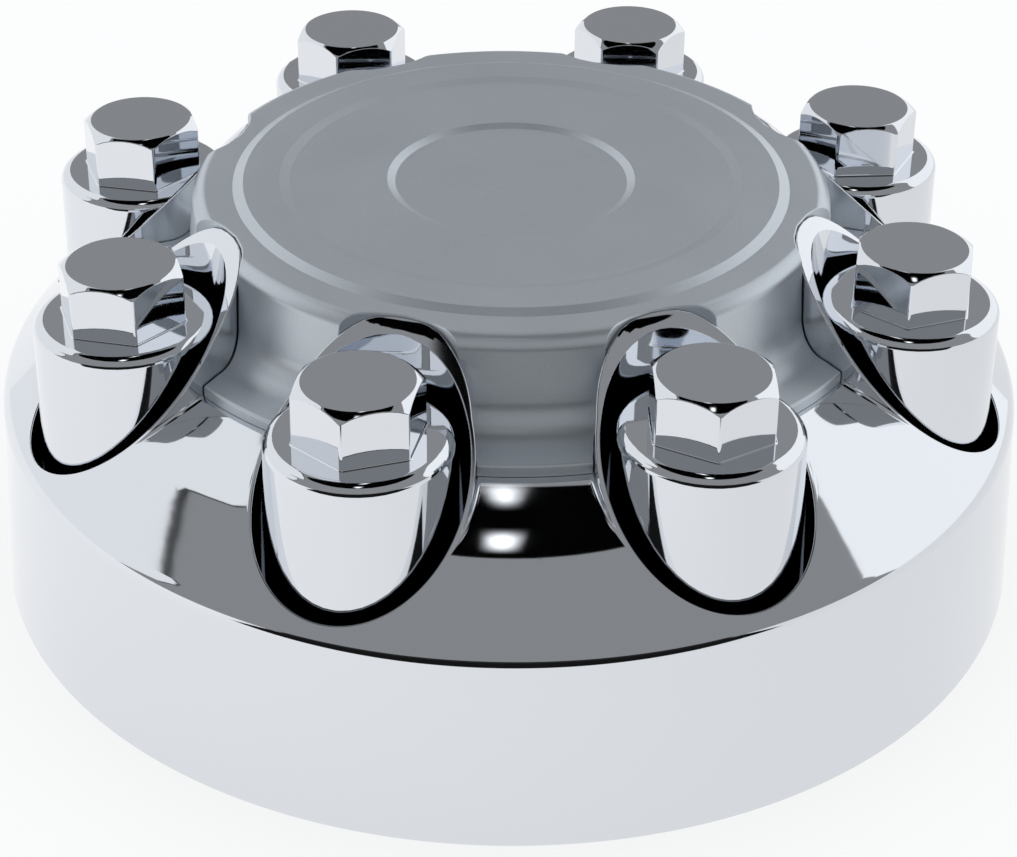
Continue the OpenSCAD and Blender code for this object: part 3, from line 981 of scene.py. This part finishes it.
def satin_material(look):
    """The satin plating of the centre cap, with a fine grain"""
    material = bpy.data.materials.new("satin_grey_plate")
    graph = Graph(material)
    place = graph.node("ShaderNodeTexCoord", output="Object")
    grain = graph.node("ShaderNodeTexNoise", None, {"Vector": place, "Scale": 2600.0, "Detail": 2.0})
    cloud = graph.node("ShaderNodeTexNoise", None, {"Vector": place, "Scale": 30.0, "Detail": 4.0})
    dark = tuple(0.82 * v for v in look.satin)
    light = tuple(1.18 * v for v in look.satin)
    tone = graph.mix(grain * 0.7 + cloud * 0.3, (*dark, 1), (*light, 1))
    roughness = look.satin_roughness + (cloud - 0.5) * 0.06
    bump = graph.node("ShaderNodeBump", None, {"Height": grain, "Strength": 0.12, "Distance": 0.0001},
                      output="Normal")
    shader = graph.node("ShaderNodeBsdfPrincipled", None, {
        "Base Color": tone, "Metallic": 0.8, "Roughness": roughness, "Normal": bump})
    graph.node("ShaderNodeOutputMaterial", None, {"Surface": shader})
    return material


def floor_material(look):
    """A white floor; seen in the plating only, it has a painted dark reflection in front and is painted
    brighter on the left and dimmer on the right
    """
    material = bpy.data.materials.new("pale_floor")
    graph = Graph(material)
    place = graph.node("ShaderNodeTexCoord", output="Object")
    parts = graph.node("ShaderNodeSeparateXYZ", None, {"Vector": place})
    x, y = parts, parts.output("Y")
    ahead = -math.sin(CAMERA_HEADING) * x - math.cos(CAMERA_HEADING) * y
    across = math.cos(CAMERA_HEADING) * x - math.sin(CAMERA_HEADING) * y
    wide = graph.node("ShaderNodeMath", {"operation": "ABSOLUTE"}, {0: across})
    # Painted dark reflection: mask of the floor ahead past these distances and within the spread to either
    # side
    into_painted_dark = graph.smooth(ahead, *PAINTED_DARK_FROM)
    aside = graph.smooth(wide - PAINTED_DARK_SPREAD * ahead, -PAINTED_DARK_BLUR, PAINTED_DARK_BLUR)
    beyond = into_painted_dark * (1 - aside)
    rays = graph.node("ShaderNodeLightPath", output="Is Camera Ray")
    glossy = rays.output("Is Glossy Ray")
    lit = graph.node("ShaderNodeBsdfDiffuse", None, {"Color": (*look.floor, 1)})
    # Painted reflection: for reflection rays only, the floor's glow is up to 6 per cent stronger on the
    # left and 10 per cent weaker on the right
    strength = 1 - glossy * (graph.smooth(across, -0.5, 0.5) * 0.16 - 0.06)
    white = graph.node("ShaderNodeEmission", None, {"Color": (1, 1, 1, 1), "Strength": strength})
    # Painted dark reflection: a near-black glow that only reflection rays are shown
    dark = graph.node("ShaderNodeEmission", None, {"Color": (1, 1, 1, 1), "Strength": 0.01})
    seen = graph.node("ShaderNodeMixShader", None, {0: rays * 0.75 + glossy * 0.88, 1: lit, 2: white})
    # Reflection rays see the painted dark in front; the camera sees the white floor there
    edged = graph.node("ShaderNodeMixShader", None, {0: beyond * glossy, 1: seen, 2: dark})
    graph.node("ShaderNodeOutputMaterial", None, {"Surface": edged})
    return material


def studio_world():
    """A white world; the plating shows a studio in it, with white panels, a grey front and a black top"""
    world = bpy.data.worlds.new("studio")
    bpy.context.scene.world = world
    graph = Graph(world)
    way = graph.node("ShaderNodeTexCoord", output="Generated")
    up = graph.node("ShaderNodeSeparateXYZ", None, {"Vector": way}, output="Z")

    def heading(side, high):
        """The way out to a place, side degrees right of the way to the camera and high degrees up"""
        turn, rise = math.radians(side - 90) - CAMERA_HEADING, math.radians(high)
        return Vector((math.cos(turn) * math.cos(rise), math.sin(turn) * math.cos(rise), math.sin(rise)))

    def panel(corners, soft=0.5, grown=0.0):
        """The part of the sky between corners, written as side and high, and grown degrees beyond"""
        ways = [heading(*corner) for corner in corners]
        middle = sum(ways, Vector())
        inside = 1
        for a, b in zip(ways, ways[1:] + ways[:1]):
            edge = a.cross(b).normalized()
            edge *= math.copysign(1, edge @ middle)
            reach = graph.node("ShaderNodeVectorMath", {"operation": "DOT_PRODUCT"},
                               {0: way, 1: edge}, output="Value")
            inside = inside * graph.smooth(reach, -math.radians(grown + soft), math.radians(soft - grown))
        return inside

    def above(high, soft=0.6):
        """The part of the sky above a height in degrees, with a change soft degrees wide each way"""
        return graph.smooth(up, math.sin(math.radians(high - soft)), math.sin(math.radians(high + soft)))

    left_low = [(-98, -14), (-83, 2), (-75.5, 12), (-74.5, 24), (-77, 31), (-82.5, 36.8),
                (-88.5, 35.7), (-110, 28), (-166, -14)]
    left_high = [(-100, 26), (-89.3, 35.6), (-86.8, 38.3), (-82, 42.8), (-82, 48), (-92, 54), (-115, 58),
                 (-140, 56), (-166, 42), (-166, -14), (-120, -6)]
    right = [(166, -14), (166, 40), (150, 50), (130, 52), (108, 48), (92, 40), (83, 28),
             (81, 12), (86, -2), (94, -14)]
    back = panel([(122, 12), (120, 38), (150, 46), (180, 47), (-150, 46), (-120, 38), (-122, 12)], 2)
    lamps = (panel([(-178, 50), (-170, 86), (176, 86), (179, 50)], 1.4) * above(61, 6)
             * (1 - above(77, 6))
             + panel([(1, 55), (-6, 55), (-28, 86), (22, 86)], 2.0) * above(68, 5) * (1 - above(79, 5)))
    base = panel([(-50, -20), (50, -20), (45, 4), (-45, 4)], 1)
    sky = SKY_GREY * (1 - above(60)) * (1 - base * 0.93)
    for rim in (left_low, left_high):
        sky = sky * (1 - panel(rim, 0.3, grown=0.8) * 0.85)
    for corners, strength in ((left_low, 0.98), (left_high, 0.98), (right, 1.14)):
        white = panel(corners, 0.3)
        sky = sky * (1 - white) + white * strength
    sky = sky * (1 - back) + back * SKY_GREY + lamps * LAMP_STRENGTH
    tint = graph.node("ShaderNodeCombineColor", None, {"Red": sky * 0.97, "Green": sky * 0.985,
                                                       "Blue": sky})
    rays = graph.node("ShaderNodeLightPath", output="Is Glossy Ray")
    camera = rays.output("Is Camera Ray")
    plain = graph.node("ShaderNodeBackground", None, {"Color": (0.95, 0.975, 1.0, 1), "Strength": 1.0})
    studio = graph.node("ShaderNodeBackground", None, {"Color": tint, "Strength": 1.0})
    paper = graph.node("ShaderNodeBackground", None, {"Color": (1, 1, 1, 1), "Strength": 1.0})
    shiny = graph.node("ShaderNodeMixShader", None, {0: rays, 1: plain, 2: studio})
    seen = graph.node("ShaderNodeMixShader", None, {0: camera, 1: shiny, 2: paper})
    graph.node("ShaderNodeOutputWorld", None, {"Surface": seen})


def stage_floor(scene):
    """The floor that the cover's rim stands on"""
    mesh = bpy.data.meshes.new("floor")
    corners = [(-1, -1), (1, -1), (1, 1), (-1, 1)]
    mesh.from_pydata([(x * FLOOR_REACH, y * FLOOR_REACH, 0) for x, y in corners], [], [(0, 1, 2, 3)])
    mesh.materials.append(floor_material(scene.hub_cover_look))
    floor = bpy.data.objects.new("floor", mesh)
    scene.collection.objects.link(floor)


def stage_camera(scene):
    """The camera, which looks down at the cover from the front"""
    data = bpy.data.cameras.new("camera")
    data.sensor_width = 36
    data.lens = CAMERA_LENS
    data.clip_start, data.clip_end = 0.05, 60
    camera = bpy.data.objects.new("camera", data)
    scene.collection.objects.link(camera)
    turn = (Matrix.Rotation(-CAMERA_HEADING, 4, "Z") @ Matrix.Rotation(math.pi / 2 - CAMERA_PITCH, 4, "X")
            @ Matrix.Rotation(CAMERA_ROLL, 4, "Z"))
    camera.matrix_world = Matrix.Translation((-CAMERA_DISTANCE * math.sin(CAMERA_HEADING),
                                              -CAMERA_DISTANCE * math.cos(CAMERA_HEADING),
                                              CAMERA_HEIGHT)) @ turn
    return camera


# Operators

def finish_piece(piece, material, node):
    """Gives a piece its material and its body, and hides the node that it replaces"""
    piece.data.materials.append(material)
    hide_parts(node)
    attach(piece, BODY)


class HUBCOVER_OT_cover(Operator):
    """Make the chrome cover with its skirt, face, wells and lips"""
    bl_idname = "hub_cover.cover"
    bl_label = "Cover"

    def execute(self, context):
        scene = context.scene
        shell = cover_shell(scene.hub_cover_form, scene.hub_cap_form.brim_r)
        finish_piece(shell.build("chrome_cover"), chrome_material(scene.hub_cover_look),
                     "cover")
        return {"FINISHED"}


class HUBCOVER_OT_cap(Operator):
    """Make the satin centre cap with its ring steps, flare and scallops"""
    bl_idname = "hub_cover.cap"
    bl_label = "Centre Cap"

    def execute(self, context):
        scene = context.scene
        shell = cap_shell(scene.hub_cap_form, scene.hub_cover_form)
        finish_piece(shell.build("satin_centre_cap"), satin_material(scene.hub_cover_look),
                     "centre_cap")
        return {"FINISHED"}


class HUBCOVER_OT_nuts(Operator):
    """Make the separate nut covers that stand in the wells"""
    bl_idname = "hub_cover.nuts"
    bl_label = "Nut Covers"

    def execute(self, context):
        scene = context.scene
        for k, turn in enumerate(CROWN_TURNS):
            shell = nut_shell(scene.hub_nut_form, scene.hub_cover_form, k, math.radians(turn))
            finish_piece(shell.build(f"chrome_nut_cover_{k + 1}"), chrome_material(scene.hub_cover_look),
                         f"nut_cover_{k + 1}")
        return {"FINISHED"}


class HUBCOVER_OT_stage(Operator):
    """Set the camera, the floor and the studio light"""
    bl_idname = "hub_cover.stage"
    bl_label = "Stage"

    def execute(self, context):
        scene = context.scene
        scene.view_settings.view_transform = "Standard"
        studio_world()
        scene.camera = stage_camera(scene)
        stage_floor(scene)
        return {"FINISHED"}


class HUBCOVER_PT_panel(Panel):
    bl_label = "Hub Cover"
    bl_idname = "HUBCOVER_PT_panel"
    bl_space_type = "VIEW_3D"
    bl_region_type = "UI"
    bl_category = "Hub Cover"

    def draw(self, context):
        for operator in OPERATORS:
            self.layout.operator(operator.bl_idname)


OPERATORS = (HUBCOVER_OT_cover, HUBCOVER_OT_cap, HUBCOVER_OT_nuts, HUBCOVER_OT_stage)
GROUPS = {"hub_cover_form": HubCoverForm, "hub_cap_form": HubCapForm, "hub_nut_form": HubNutForm,
          "hub_cover_look": HubCoverLook}


def register():
    for cls in (*GROUPS.values(), *OPERATORS, HUBCOVER_PT_panel):
        bpy.utils.register_class(cls)
    for name, group in GROUPS.items():
        setattr(bpy.types.Scene, name, PointerProperty(type=group))


def unregister():
    for name in GROUPS:
        delattr(bpy.types.Scene, name)
    for cls in (HUBCOVER_PT_panel, *reversed(OPERATORS), *reversed(GROUPS.values())):
        bpy.utils.unregister_class(cls)


def main():
    register()
    bpy.ops.hub_cover.cover()
    bpy.ops.hub_cover.cap()
    bpy.ops.hub_cover.nuts()
    bpy.ops.hub_cover.stage()


if __name__ == "__main__":
    main()
